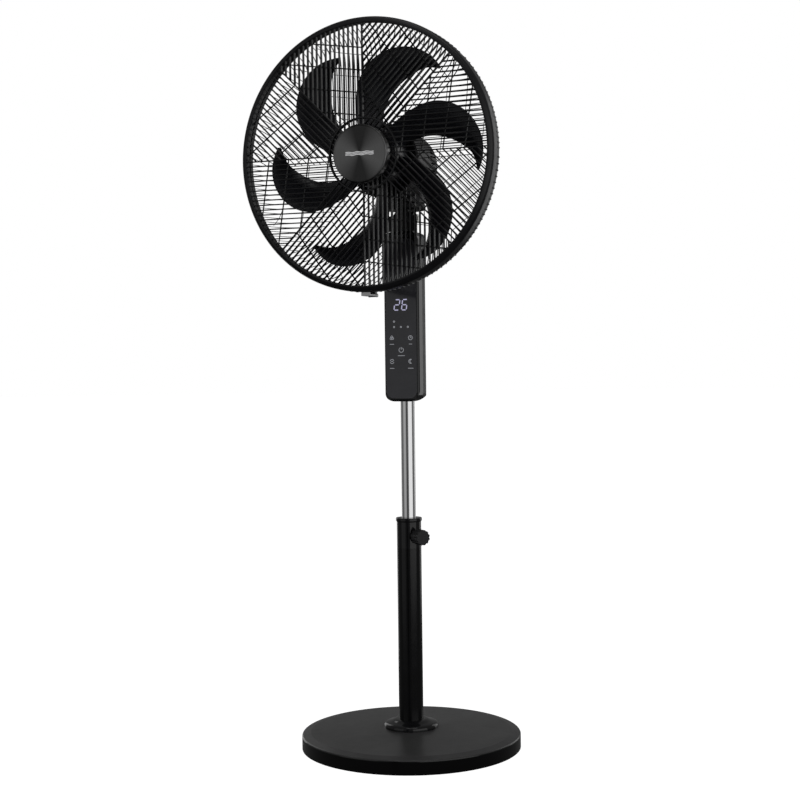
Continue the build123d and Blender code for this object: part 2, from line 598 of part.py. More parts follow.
# ---- guards ----------------------------------------------------------------------
def rib_boxes(outer, inner, width):
    """Centre, bearing and length of every rib: eight sectors of straight parallel ribs."""
    for sector in range(sectors):
        bearing = sector * 360.0 / sectors
        across = bearing + 90.0
        for number in range(rib_count):
            offset = number * rib_pitch
            start = max(offset, sqrt(max(inner ** 2 - offset ** 2, 0.0)))
            end = sqrt(outer ** 2 - offset ** 2)
            middle = (start + end) / 2
            along_x, along_y = polar(middle, bearing)
            side_x, side_y = polar(offset, across)
            yield (along_x + side_x, along_y + side_y), bearing, end - start, width


def bar_boxes(outer):
    """Centre, bearing and length of the thin cross bars of each sector."""
    for sector in range(sectors):
        bearing = sector * 360.0 / sectors
        lean = radians(bar_lean)
        for start in bar_starts:
            # Along the bar, the next sector's ray is reached where the bearing is 45 degrees.
            to_ray = start * sin(pi / 4) / sin(lean - pi / 4)
            to_rim = -start * cos(lean) + sqrt(outer ** 2 - (start * sin(lean)) ** 2)
            length = min(to_ray, to_rim)
            base_x, base_y = polar(start, bearing)
            half_x, half_y = polar(length / 2, bearing + bar_lean)
            yield (base_x + half_x, base_y + half_y), bearing + bar_lean, length, bar_w


def lattice(boxes, plane):
    """One flat face, or several, joining every rectangle in the list."""
    faces = []
    for centre, bearing, length, width in boxes:
        faces.append(Pos(centre[0], centre[1]) * Rot(0, 0, bearing) * Rectangle(length, width))
    with BuildSketch(plane) as grid:
        add(faces)
    return grid.sketch


front_root, rear_root = badge_r + 1.2, 45.0     # where the ribs start, from the axis
front_ribs = lattice(rib_boxes(ring_bore_r + 2.3, front_root, rib_w), head.offset(grille_f0))
front_bars = lattice(bar_boxes(ring_bore_r + 2.3), head.offset(grille_f0 - bar_t + 0.6))
rear_ribs = lattice(rib_boxes(ring_r + 2.0, rear_root, rib_w + 0.2), head.offset(85.0))

with BuildPart() as front_guard:
    extrude(front_ribs, amount=grille_f1 - grille_f0)
    extrude(front_bars, amount=bar_t)
    ring(head, grille_f0 - 0.4, grille_f1 + 0.4, eye_r, eye_r - 3.0)
    ring(head, grille_f0 - 0.3, grille_f1 - 1.6, badge_r + 2.6)
    with BuildSketch(Plane(origin=(0, 0, hub_z), x_dir=(1, 0, 0), z_dir=(0, 0, 1))) as band:
        with BuildLine():
            Polyline((ring_bore_r, -171.0), (ring_bore_r, -182.5), (ring_bore_r + 1.5, -184.0),
                     (ring_bore_r + 4.0, -183.2))
            ThreePointArc((ring_bore_r + 4.0, -183.2), (ring_r - 2.2, -180.6), (ring_r, -175.8))
            Polyline((ring_r, -175.8), (ring_r, -guard_seam), (ring_r - 4.0, -guard_seam),
                     (ring_r - 4.0, -168.0), (ring_r - 6.0, -172.0), (ring_bore_r + 3.0, -171.0),
                     (ring_bore_r, -171.0))
        make_face()
    revolve(band.sketch, axis=Axis(origin=(0, 0, hub_z), direction=(0, 1, 0)))
save(front_guard, "front_guard")

with BuildPart() as front_badge:
    ring(head, grille_f1 - 1.5, badge_front, badge_r)
    fillet(front_badge.edges().group_by(Axis.Y)[0], 1.0)
save(front_badge, "front_badge")

latch_axis = Plane(origin=(0, latch_y, latch_z), x_dir=(0, 1, 0), z_dir=(1, 0, 0))
lip_f = guard_seam - 0.4     # front edge of the rear guard's rim
with BuildPart() as rear_guard:
    with BuildSketch(Plane(origin=(0, 0, hub_z), x_dir=(1, 0, 0), z_dir=(0, 0, 1))) as dish:
        with BuildLine():
            outside = [(r, -f) for r, f in basket]
            inside = [(r - 1.5, -f - basket_t) for r, f in reversed(basket)]
            rim = [(ring_r, -147.0), (ring_r, -lip_f), (rear_bore_r, -lip_f)]
            Polyline(*outside, *rim, *inside, close=True)
        make_face()
    revolve(dish.sketch, axis=Axis(origin=(0, 0, hub_z), direction=(0, 1, 0)))
    extrude(rear_ribs, amount=90.0, mode=Mode.INTERSECT)
    ring(head, 149.0, lip_f, ring_r - tooth_h, rear_bore_r)
    ring(head, 92.1, 95.0, 63.0, nose_r + 0.15)
    for radius, forward in ((118.0, 96.4), (168.0, 99.5)):
        ring(head, forward, forward + 2.2, radius + 1.2, radius - 1.2)
    block(Plane.YZ, -5.0, 5.0, 8.0, 10.0, (latch_y + 0.5, latch_z + 2.5))
    ring(latch_axis, -40.0, 40.0, 1.52, mode=Mode.SUBTRACT)
save(rear_guard, "rear_guard")

with BuildPart() as guard_nut:
    with BuildSketch(head.offset(95.1)):
        Circle(31.0)
        with PolarLocations(32.0, 10):
            Circle(3.2, mode=Mode.SUBTRACT)
        Circle(nose_r + 0.1, mode=Mode.SUBTRACT)
    extrude(amount=5.4)
save(guard_nut, "guard_nut")

with BuildPart() as latch_pin:
    ring(latch_axis, -latch_w / 2, latch_w / 2, 1.5)
save(latch_pin, "latch_pin")

with BuildPart() as guard_latch:
    block(Plane.XY, latch_z - 1.6, latch_z + 1.2, latch_w, 28.0, (0.0, latch_y - 16.0))
    block(Plane.XY, latch_z - 1.6, latch_z + 4.0, latch_w, 2.4, (0.0, latch_y - 31.2))
    ring(latch_axis, -latch_w / 2, latch_w / 2, 3.0)
    fillet(guard_latch.edges().filter_by(Axis.Z).group_by(Axis.Y)[0], 1.0)
    block(Plane.XY, latch_z - 10.0, latch_z + 10.0, 10.8, 9.6, (0.0, latch_y), Mode.SUBTRACT)
    ring(latch_axis, -40.0, 40.0, 1.6, mode=Mode.SUBTRACT)
save(guard_latch, "guard_latch")

# ---- impeller --------------------------------------------------------------------
# Each row: distance and bearing of the leading edge, of the trailing edge, and the axial rise.
blade_rows = (
    ((36.0, 138.0), (36.0, 182.0), 26.0),
    ((63.0, 147.0), (65.0, 178.0), 28.0),
    ((92.5, 143.6), (96.5, 170.5), 30.0),
    ((125.0, 136.0), (137.5, 161.0), 31.0),
    ((148.0, 129.0), (166.0, 150.5), 28.0),
    ((168.0, 122.0), (189.0, 134.0), 19.0),
    ((176.0, 117.0), (191.0, 121.5), 9.0),
    ((180.5, 113.2), (185.0, 113.6), 2.5),
)


def head_point(radius, degrees, forward):
    """Point in space from its place about the impeller axis."""
    across, up = polar(radius, degrees)
    return Vector(across, -forward, hub_z + up)


def blade_stations():
    """Leading and trailing points of each blade section."""
    for lead, trail, rise in blade_rows:
        yield (head_point(lead[0], lead[1], blade_mid_f - rise / 2),
               head_point(trail[0], trail[1], blade_mid_f + rise / 2))


stations = list(blade_stations())
middles = [(lead + trail) / 2 for lead, trail in stations]
with BuildPart() as blade:
    for index, (lead, trail) in enumerate(stations):
        chord = trail - lead
        run = middles[min(index + 1, len(middles) - 1)] - middles[max(index - 1, 0)]
        across = chord.normalized()
        tangent = (run - across * run.dot(across)).normalized()
        half = chord.length / 2
        bow = chord.length * 0.07
        with BuildSketch(Plane(origin=middles[index], x_dir=across, z_dir=tangent)):
            with BuildLine():
                ThreePointArc((-half, 0), (0, bow + blade_t / 2), (half, 0))
                ThreePointArc((-half, 0), (0, bow - blade_t / 2), (half, 0))
            make_face()
    loft()
impeller_axis = Axis(origin=(0, 0, hub_z), direction=(0, 1, 0))

with BuildPart() as impeller:
    ring(head, hub_f0, hub_f1, hub_r)
    fillet(impeller.edges().group_by(Axis.Y)[0], 6.0)
    for number in range(blade_count):
        add(blade.part.rotate(impeller_axis, blade_phase + number * 360.0 / blade_count))
    ring(head, hub_f0 - 10.0, hub_f1 - 6.0, hub_r - hub_wall, mode=Mode.SUBTRACT)
    ring(head, 124.0, hub_f1 - 3.0, 10.0)
    ring(head, 110.0, 175.0, shaft_r + 0.03, mode=Mode.SUBTRACT)
    block(head, 118.0, 127.1, 20.5, 3.4, mode=Mode.SUBTRACT)
save(impeller, "impeller")

with BuildPart() as impeller_pin:
    pegs(Plane(origin=(0, 0, hub_z), x_dir=(0, 1, 0), z_dir=(1, 0, 0)), [(-125.4, 0.0)], -9.8, 9.8, 1.5)
    ring(head, 110.0, 130.0, shaft_r + 0.05, mode=Mode.SUBTRACT)
save(impeller_pin, "impeller_pin")

with BuildPart() as spinner_nut:
    with BuildSketch(head.offset(hub_f1 + gap)):
        Circle(15.0)
        with PolarLocations(16.0, 8):
            Circle(2.4, mode=Mode.SUBTRACT)
    extrude(amount=7.0)
    fillet(spinner_nut.edges().group_by(Axis.Y)[0], 0.8)
    ring(head, 160.0, shaft_f1 + 0.5, shaft_r + 0.03, mode=Mode.SUBTRACT)
save(spinner_nut, "spinner_nut")
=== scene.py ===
"""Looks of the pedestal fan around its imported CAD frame. Metres, +Z up, the fan faces -Y."""
import json
import math

import bpy
import bmesh
from mathutils import Matrix, Vector


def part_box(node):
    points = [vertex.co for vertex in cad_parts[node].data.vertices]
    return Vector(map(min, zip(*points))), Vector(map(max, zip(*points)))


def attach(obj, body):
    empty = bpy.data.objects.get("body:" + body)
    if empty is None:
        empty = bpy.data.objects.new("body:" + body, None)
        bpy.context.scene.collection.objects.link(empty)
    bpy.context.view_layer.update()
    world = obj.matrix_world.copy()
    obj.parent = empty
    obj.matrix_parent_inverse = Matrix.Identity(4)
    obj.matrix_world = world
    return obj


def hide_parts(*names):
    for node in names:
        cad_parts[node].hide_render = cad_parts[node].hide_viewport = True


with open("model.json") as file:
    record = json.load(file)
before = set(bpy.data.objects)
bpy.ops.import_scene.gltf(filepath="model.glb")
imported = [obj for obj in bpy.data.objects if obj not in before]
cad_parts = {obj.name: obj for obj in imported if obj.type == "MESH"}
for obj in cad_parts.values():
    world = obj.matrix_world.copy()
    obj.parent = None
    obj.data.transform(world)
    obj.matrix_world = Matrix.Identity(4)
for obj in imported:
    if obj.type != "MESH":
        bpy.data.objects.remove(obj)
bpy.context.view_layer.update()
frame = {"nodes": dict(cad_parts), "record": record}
MM = 0.001

# ---- places taken from the frame ---------------------------------------------------
guard_low, guard_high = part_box("front_guard")
HUB_Z = (guard_low.z + guard_high.z) / 2
badge_low, badge_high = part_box("front_badge")
panel_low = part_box("control_panel")[0]


# ---- node helpers --------------------------------------------------------------------
CLOUD_SCALE = 35.0                # cycles per metre of the slow change of colour
SMEAR_SCALE = 108.5               # cycles per metre of the change of gloss


def new_material(name):
    """An empty node material with its Principled shader and its tree."""
    material = bpy.data.materials.new(name)
    material.use_nodes = True
    tree = material.node_tree
    return material, tree, tree.nodes["Principled BSDF"]


def noise(tree, scale, detail=3.0, roughness=0.55, stretch=(1, 1, 1)):
    """Noise in the object's own metres; scale is in cycles per metre."""
    place = tree.nodes.new("ShaderNodeTexCoord")
    mapping = tree.nodes.new("ShaderNodeMapping")
    mapping.inputs["Scale"].default_value = stretch
    texture = tree.nodes.new("ShaderNodeTexNoise")
    texture.inputs["Scale"].default_value = scale
    texture.inputs["Detail"].default_value = detail
    texture.inputs["Roughness"].default_value = roughness
    tree.links.new(place.outputs["Object"], mapping.inputs["Vector"])
    tree.links.new(mapping.outputs["Vector"], texture.inputs["Vector"])
    return texture.outputs["Fac"]


def ramp(tree, factor, low, high, start=0.3, end=0.7):
    """A number that runs from low to high as the factor runs from start to end."""
    spread = tree.nodes.new("ShaderNodeMapRange")
    spread.inputs["From Min"].default_value = start
    spread.inputs["From Max"].default_value = end
    spread.inputs["To Min"].default_value = low
    spread.inputs["To Max"].default_value = high
    tree.links.new(factor, spread.inputs["Value"])
    return spread.outputs["Result"]


def blend_colour(tree, factor, low, high, start=0.3, end=0.7):
    """A colour that runs from low to high as the factor runs from start to end."""
    colours = tree.nodes.new("ShaderNodeValToRGB")
    colours.color_ramp.elements[0].position = start
    colours.color_ramp.elements[0].color = (*low, 1)
    colours.color_ramp.elements[1].position = end
    colours.color_ramp.elements[1].color = (*high, 1)
    tree.links.new(factor, colours.inputs["Fac"])
    return colours.outputs["Color"]


def maths(tree, operation, first, second=None):
    """One number from one or two others."""
    node = tree.nodes.new("ShaderNodeMath")
    node.operation = operation
    tree.links.new(first, node.inputs[0])
    if second is not None:
        tree.links.new(second, node.inputs[1])
    return node.outputs["Value"]


def split(tree, vector):
    """The three numbers of a vector, as sockets X, Y and Z."""
    node = tree.nodes.new("ShaderNodeSeparateXYZ")
    tree.links.new(vector, node.inputs["Vector"])
    return node.outputs


def bump(tree, shader, height, strength, distance):
    """Surface relief of a real depth in metres."""
    relief = tree.nodes.new("ShaderNodeBump")
    relief.inputs["Strength"].default_value = strength
    relief.inputs["Distance"].default_value = distance
    tree.links.new(height, relief.inputs["Height"])
    tree.links.new(relief.outputs["Normal"], shader.inputs["Normal"])


def surface(name, dark, light, rough, grain=900.0, grain_depth=0.00004, grain_strength=0.3,
            metallic=0.0, stretch=(1, 1, 1), specular=0.5):
    """A moulded, painted or plated surface: cloudy colour and gloss, and a fine grain."""
    material, tree, shader = new_material(name)
    clouds = noise(tree, CLOUD_SCALE, 4.0, stretch=stretch)
    tree.links.new(blend_colour(tree, clouds, dark, light), shader.inputs["Base Color"])
    smears = noise(tree, SMEAR_SCALE, 5.0, 0.65, stretch)
    tree.links.new(ramp(tree, smears, rough[0], rough[1]), shader.inputs["Roughness"])
    shader.inputs["Metallic"].default_value = metallic
    shader.inputs["Specular IOR Level"].default_value = specular
    bump(tree, shader, noise(tree, grain, 2.0, stretch=stretch), grain_strength, grain_depth)
    return material


# ---- materials -----------------------------------------------------------------------
def base_plastic():
    """Base cover: satin, finely textured top and a polished rim wall; a painted shade keeps the wall near
    black and the upward top lighter.
    """
    material, tree, shader = new_material("base_plastic")
    clouds = noise(tree, 22.0, 4.0)
    shader.inputs["Specular IOR Level"].default_value = 0.4
    geometry = tree.nodes.new("ShaderNodeNewGeometry")
    upward = split(tree, geometry.outputs["Normal"])["Z"]
    roughness = ramp(tree, upward, 0.10, 0.30, 0.35, 0.9)
    # Painted shade: base colour near black where the surface faces sideways, lighter where it faces up.
    facing_shade = tree.nodes.new("ShaderNodeMix")
    facing_shade.data_type = "RGBA"
    tree.links.new(ramp(tree, upward, 0.0, 1.0, 0.2, 0.6), facing_shade.inputs["Factor"])
    facing_shade.inputs["A"].default_value = (0.001, 0.001, 0.0012, 1)
    tree.links.new(blend_colour(tree, clouds, (0.043, 0.043, 0.0435), (0.061, 0.061, 0.0615)),
                   facing_shade.inputs["B"])
    tree.links.new(facing_shade.outputs["Result"], shader.inputs["Base Color"])
    smears = noise(tree, 60.0, 5.0, 0.7)
    uneven = maths(tree, "ADD", roughness, ramp(tree, smears, -0.015, 0.035))
    tree.links.new(uneven, shader.inputs["Roughness"])
    bump(tree, shader, noise(tree, 1400.0, 2.0), 0.18, 0.00003)
    return material


def badge_metal():
    """Spun disc: fine rings round the axis, stretched highlights, and a painted bow-tie highlight, the
    colour darker above and below the middle.
    """
    material, tree, shader = new_material("badge")
    place = tree.nodes.new("ShaderNodeTexCoord")
    centre = tree.nodes.new("ShaderNodeMapping")
    centre.vector_type = "POINT"
    centre.inputs["Location"].default_value = (0, 0, -HUB_Z)
    tree.links.new(place.outputs["Object"], centre.inputs["Vector"])
    flat = tree.nodes.new("ShaderNodeVectorMath")
    flat.operation = "MULTIPLY"
    flat.inputs[1].default_value = (1, 0, 1)
    tree.links.new(centre.outputs["Vector"], flat.inputs[0])
    radius = tree.nodes.new("ShaderNodeVectorMath")
    radius.operation = "LENGTH"
    tree.links.new(flat.outputs["Vector"], radius.inputs[0])
    rings = tree.nodes.new("ShaderNodeTexNoise")
    rings.noise_dimensions = "1D"
    rings.inputs["Scale"].default_value = 2600.0
    rings.inputs["Detail"].default_value = 3.0
    tree.links.new(radius.outputs["Value"], rings.inputs["W"])
    sides = tree.nodes.new("ShaderNodeVectorMath")
    sides.operation = "NORMALIZE"
    tree.links.new(flat.outputs["Vector"], sides.inputs[0])
    # Painted highlight: base colour dim above and below the axis and brighter to either side, a bow-tie set
    # by place.
    sideways = maths(tree, "ABSOLUTE", split(tree, sides.outputs["Vector"])["X"])
    grain = ramp(tree, rings.outputs["Fac"], 0.8, 1.25)
    rings_and_painted_highlight = maths(tree, "MULTIPLY", grain, ramp(tree, sideways, 0.045, 0.20, 0.25, 0.95))
    tree.links.new(rings_and_painted_highlight, shader.inputs["Base Color"])
    tree.links.new(ramp(tree, rings.outputs["Fac"], 0.30, 0.42), shader.inputs["Roughness"])
    shader.inputs["Metallic"].default_value = 0.85
    shader.inputs["Anisotropic"].default_value = 0.85
    tangent = tree.nodes.new("ShaderNodeTangent")
    tangent.direction_type = "RADIAL"
    tangent.axis = "Y"
    tree.links.new(tangent.outputs["Tangent"], shader.inputs["Tangent"])
    bump(tree, shader, rings.outputs["Fac"], 0.25, 0.00003)
    return material


def light_mark(name, colour, strength):
    """Glowing mark, slightly uneven: the lit digits are a lamp, while on printed marks the glow is painted
    light.
    """
    material, tree, shader = new_material(name)
    patches = noise(tree, 900.0, 2.0)
    dim = tuple(0.8 * c for c in colour)
    tint = blend_colour(tree, patches, dim, colour)
    tree.links.new(tint, shader.inputs["Base Color"])
    tree.links.new(tint, shader.inputs["Emission Color"])
    shader.inputs["Emission Strength"].default_value = strength
    shader.inputs["Roughness"].default_value = 0.4
    return material


def circuit_material():
    """Green solder mask with paler tracks."""
    material, tree, shader = new_material("circuit")
    place = tree.nodes.new("ShaderNodeTexCoord")
    tracks = tree.nodes.new("ShaderNodeTexBrick")
    tracks.inputs["Scale"].default_value = 120.0
    tracks.inputs["Color1"].default_value = (0.02, 0.13, 0.05, 1)
    tracks.inputs["Color2"].default_value = (0.03, 0.16, 0.06, 1)
    tracks.inputs["Mortar"].default_value = (0.09, 0.26, 0.10, 1)
    tree.links.new(place.outputs["Object"], tracks.inputs["Vector"])
    tree.links.new(tracks.outputs["Color"], shader.inputs["Base Color"])
    tree.links.new(ramp(tree, noise(tree, 200.0), 0.3, 0.5), shader.inputs["Roughness"])
    return material


MATERIALS = {
    "base_plastic": base_plastic(),
    "matte_plastic": surface("matte_plastic", (0.012, 0.012, 0.0135), (0.019, 0.019, 0.021), (0.38, 0.48),
                             1500.0, 0.00005, 0.35, specular=0.4),
    "gloss_plastic": surface("gloss_plastic", (0.007, 0.007, 0.008), (0.011, 0.011, 0.0125), (0.07, 0.12),
                             500.0, 0.00001, 0.08, specular=0.4),
    "guard_plastic": surface("guard_plastic", (0.010, 0.010, 0.0115), (0.015, 0.015, 0.017), (0.30, 0.38),
                             1300.0, 0.00003, 0.25, specular=0.35),
    "blade_plastic": surface("blade_plastic", (0.019, 0.0195, 0.025), (0.026, 0.0265, 0.033), (0.22, 0.30),
                             900.0, 0.00002, 0.12, specular=0.35),
    "badge": badge_metal(),
    "panel": surface("panel", (0.056, 0.056, 0.064), (0.070, 0.070, 0.080), (0.08, 0.13), 300.0, 0.000004,
                     0.05, specular=0.5),
    "grey_plastic": surface("grey_plastic", (0.66, 0.66, 0.665), (0.74, 0.74, 0.745), (0.35, 0.5)),
    "white_plastic": surface("white_plastic", (0.62, 0.61, 0.57), (0.72, 0.71, 0.67), (0.35, 0.5)),
    "circuit": circuit_material(),
    "rubber": surface("rubber", (0.018, 0.018, 0.018), (0.03, 0.03, 0.03), (0.65, 0.85), 1100.0, 0.0001,
                      0.5),
    "painted_steel": surface("painted_steel", (0.003, 0.003, 0.0035), (0.005, 0.005, 0.0055), (0.14, 0.20),
                             350.0, 0.00002, 0.12, specular=0.35),
    "iron": surface("iron", (0.05, 0.048, 0.045), (0.12, 0.115, 0.11), (0.6, 0.85), 400.0, 0.0003, 0.7),
    "zinc": surface("zinc", (0.45, 0.46, 0.45), (0.62, 0.62, 0.58), (0.25, 0.4), 700.0, 0.00003, 0.3,
                    metallic=1.0),
    "chrome": surface("chrome", (0.74, 0.74, 0.745), (0.82, 0.82, 0.825), (0.05, 0.09), 260.0, 0.00001, 0.05,
                      metallic=1.0, stretch=(1, 1, 0.04)),
    "bearing_steel": surface("bearing_steel", (0.5, 0.5, 0.5), (0.6, 0.6, 0.6), (0.15, 0.25), metallic=1.0),
    "laminations": surface("laminations", (0.16, 0.16, 0.18), (0.28, 0.28, 0.3), (0.35, 0.5), 900.0, 0.0001,
                           0.6, metallic=1.0, stretch=(0.05, 1, 0.05)),
    "copper": surface("copper", (0.42, 0.16, 0.06), (0.6, 0.25, 0.1), (0.25, 0.4), 900.0, 0.0002, 0.8,
                      metallic=1.0, stretch=(0.1, 1, 0.1)),
    "digits": light_mark("digits", (0.44, 0.43, 0.60), 0.85),
    # The panel icons are print: their glow is painted light.
    "icons": light_mark("icons", (0.40, 0.41, 0.44), 0.45),
    # The badge waves are white print: their glow is painted light.
    "white_mark_painted_glow": light_mark("white_mark_painted_glow", (0.74, 0.74, 0.75), 0.45),
}

slot_of = {entry["node"]: entry["material_slot"] for entry in frame["record"]["subparts"]}
for node_name, node in frame["nodes"].items():
    if not node.material_slots:
        node.data.materials.append(MATERIALS[slot_of[node_name]])
    for material_slot in node.material_slots:
        material_slot.material = MATERIALS[slot_of[node_name]]


# ---- mesh helpers --------------------------------------------------------------------
SHARP_EDGE = math.radians(38)     # a sharper edge than this is not smoothed over


def to_object(mesh_builder, name, slot, body, smooth=True):
    """Finish a bmesh as a piece riding on a body, with its slot's material."""
    bmesh.ops.recalc_face_normals(mesh_builder, faces=mesh_builder.faces)
    mesh = bpy.data.meshes.new(name)
    mesh_builder.to_mesh(mesh)
    mesh_builder.free()
    piece = bpy.data.objects.new(name, mesh)
    bpy.context.scene.collection.objects.link(piece)
    mesh.materials.append(MATERIALS[slot])
    if smooth:
        mesh.shade_smooth()
        mesh.set_sharp_from_angle(angle=SHARP_EDGE)
    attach(piece, body)
    return piece


def part_of(piece, slot, *nodes):
    """Hide the CAD nodes that the piece stands for; the slot is not used."""
    if nodes:
        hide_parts(*nodes)


def head_point(across, up, forward):
    """Point from its place in the head plane: right, up, and forward of the post axis, in mm."""
    return Vector((across * MM, -forward * MM, HUB_Z + up * MM))


def rounded(corners, radius, steps=5):
    """A closed outline with its corners rounded by up to radius."""
    outline = []
    count = len(corners)
    for index, corner in enumerate(corners):
        here = Vector(corner)
        before = Vector(corners[index - 1]) - here
        after = Vector(corners[(index + 1) % count]) - here
        cut = min(radius, 0.45 * before.length, 0.45 * after.length)
        first, last = here + before.normalized() * cut, here + after.normalized() * cut
        for step in range(steps + 1):
            t = step / steps
            outline.append((1 - t) ** 2 * first + 2 * t * (1 - t) * here + t ** 2 * last)
    return outline


def about_hub(radius, angle, forward):
    """Point about the impeller axis, from mm."""
    return head_point(radius * math.cos(angle), radius * math.sin(angle), forward)


def lathe(builder, outline, segments):
    """Turn a closed (radius, forward) outline round the impeller axis."""
    rings = []
    for index in range(segments):
        angle = 2 * math.pi * index / segments
        rings.append([builder.verts.new(about_hub(radius, angle, forward)) for radius, forward in outline])
    count = len(outline)
    for index, ring in enumerate(rings):
        following = rings[(index + 1) % segments]
        for corner in range(count):
            after = (corner + 1) % count
            builder.faces.new((ring[corner], ring[after], following[after], following[corner]))


def bar_along(builder, path, width, depth, sideways, bevel=0.35):
    """A straight-sided bar along a path of (across, up, forward): width is sideways, depth forward."""
    half_w, half_d = width / 2, depth / 2
    section = [(-half_w, -half_d + bevel), (-half_w + bevel, -half_d), (half_w - bevel, -half_d),
               (half_w, -half_d + bevel), (half_w, half_d - bevel), (half_w - bevel, half_d),
               (-half_w + bevel, half_d), (-half_w, half_d - bevel)]
    rings = []
    for across, up, forward in path:
        rings.append([builder.verts.new(head_point(across + side * sideways[0], up + side * sideways[1],
                                                   forward + deep)) for side, deep in section])
    count = len(section)
    for ring, following in zip(rings, rings[1:]):
        for corner in range(count):
            after = (corner + 1) % count
            builder.faces.new((ring[corner], ring[after], following[after], following[corner]))
    builder.faces.new(rings[0])
    builder.faces.new(list(reversed(rings[-1])))


def direction(degrees):
    """Unit vector at a bearing in the head plane."""
    return Vector((math.cos(math.radians(degrees)), math.sin(math.radians(degrees))))


# ---- guards: all sizes in mm, forward is from the post axis ---------------------------
SECTORS = 8
RIB_PITCH = 8.2
RIB_W, REAR_RIB_W, REAR_RIB_D = 1.6, 1.0, 3.0
RIB_ROOT = 45.0                   # the ribs start under the middle plate
REAR_RIB_END, REAR_BAR_END = 221.0, 217.0
BAR_STARTS = (64.0, 101.0, 138.0, 175.0)
BAR_LEAN = 81.5                   # degrees between a sector's ribs and its cross bars
BAR_W, BAR_D, BAR_SETBACK = 2.0, 1.8, 0.3
REAR_BAR_W, REAR_BAR_D, REAR_BAR_SETBACK, REAR_BAR_BEVEL = 1.0, 1.2, 1.6, 0.25
GRILLE_BACK, GRILLE_FRONT = 177.0, 183.0
RIM_BORE, RIM_R, REAR_BORE, SEAM = 214.7, 225.0, 220.0, 160.0
RIM_OVERLAP = 1.5                 # how far ribs and bars run into the front rim
EYE_BORE, EYE_R = 58.8, 61.5      # ring round the badge
TOOTH_HALF = 0.95                 # half the width of a tooth of the rear rim
RIM_SEGMENTS, RING_SEGMENTS, BADGE_SEGMENTS = 288, 160, 192
# Centre line of the rear grille: distance from the axis, and forward of the post.
DISH = ((0.0, 95.8), (62.0, 95.8), (130.0, 97.6), (175.0, 100.2), (196.0, 105.8), (209.0, 117.0),
        (216.5, 133.0), (221.0, 150.0))


def dish_forward(radius):
    """Height of the rear grille's centre line, smoothly through its few stations."""
    for index in range(len(DISH) - 1):
        if radius <= DISH[index + 1][0] or index == len(DISH) - 2:
            break
    (r0, f0), (r1, f1) = DISH[index], DISH[index + 1]

    def slope(station):
        low, high = max(station - 1, 0), min(station + 1, len(DISH) - 1)
        return (DISH[high][1] - DISH[low][1]) / (DISH[high][0] - DISH[low][0])

    span = r1 - r0
    t = min(max((radius - r0) / span, 0.0), 1.0)
    return ((2 * t ** 3 - 3 * t ** 2 + 1) * f0 + (t ** 3 - 2 * t ** 2 + t) * span * slope(index)
            + (3 * t ** 2 - 2 * t ** 3) * f1 + (t ** 3 - t ** 2) * span * slope(index + 1))


def grille_lines(outer):
    """Start, end and bearing of every rib: eight sectors of straight parallel ribs."""
    for sector in range(SECTORS):
        bearing = sector * 360.0 / SECTORS
        along, across = direction(bearing), direction(bearing + 90.0)
        number = 0
        while number * RIB_PITCH < outer * math.sin(2 * math.pi / SECTORS) - 0.5:
            offset = number * RIB_PITCH
            start = max(offset, math.sqrt(max(RIB_ROOT ** 2 - offset ** 2, 0.0)))
            end = math.sqrt(outer ** 2 - offset ** 2)
            yield along * start + across * offset, along * end + across * offset, bearing
            number += 1


def cross_lines(outer):
    """Start and end of the thin cross bars, four in each sector."""
    lean = math.radians(BAR_LEAN)
    turn = 2 * math.pi / SECTORS
    for sector in range(SECTORS):
        bearing = sector * 360.0 / SECTORS
        for start in BAR_STARTS:
            to_ray = start * math.sin(turn) / math.sin(lean - turn)
            to_rim = -start * math.cos(lean) + math.sqrt(outer ** 2 - (start * math.sin(lean)) ** 2)
            first = direction(bearing) * start
            yield first, first + direction(bearing + BAR_LEAN) * min(to_ray, to_rim), bearing + BAR_LEAN


def front_guard():
    """Front grille: deep straight ribs, thin cross bars behind them, eye ring and rim."""
    builder = bmesh.new()
    middle = (GRILLE_BACK + GRILLE_FRONT) / 2
    for start, end, bearing in grille_lines(RIM_BORE + RIM_OVERLAP):
        bar_along(builder, [(*start, middle), (*end, middle)], RIB_W, GRILLE_FRONT - GRILLE_BACK,
                  direction(bearing + 90.0))
    behind = GRILLE_BACK - BAR_SETBACK
    for start, end, bearing in cross_lines(RIM_BORE + RIM_OVERLAP):
        bar_along(builder, [(*start, behind), (*end, behind)], BAR_W, BAR_D, direction(bearing + 90.0))
    eye_back, eye_front = GRILLE_BACK - 0.4, GRILLE_FRONT + 0.6
    eye = rounded([(EYE_BORE, eye_back), (EYE_R, eye_back), (EYE_R, eye_front), (EYE_BORE, eye_front)], 0.8)
    lathe(builder, eye, RING_SEGMENTS)
    plate = rounded([(2.0, 176.8), (47.0, 176.8), (47.0, 181.4), (2.0, 181.4)], 0.8)
    lathe(builder, plate, RING_SEGMENTS)
    rim = rounded([(RIM_BORE, 171.0), (RIM_BORE, 184.0), (217.2, 184.0), (222.6, 181.4), (RIM_R, 177.0),
                   (RIM_R, SEAM + 0.2), (221.0, SEAM + 0.2), (221.0, 168.0), (218.5, 171.0)], 1.6)
    lathe(builder, rim, RIM_SEGMENTS)
    piece = to_object(builder, "front_guard_moulding", "guard_plastic", "head")
    part_of(piece, "guard_plastic", "front_guard")


def rear_path(start, end, steps):
    """Points of a rear bar: straight seen from the front, following the dish."""
    path = []
    for step in range(steps + 1):
        point = start.lerp(end, step / steps)
        path.append((point.x, point.y, dish_forward(point.length)))
    return path


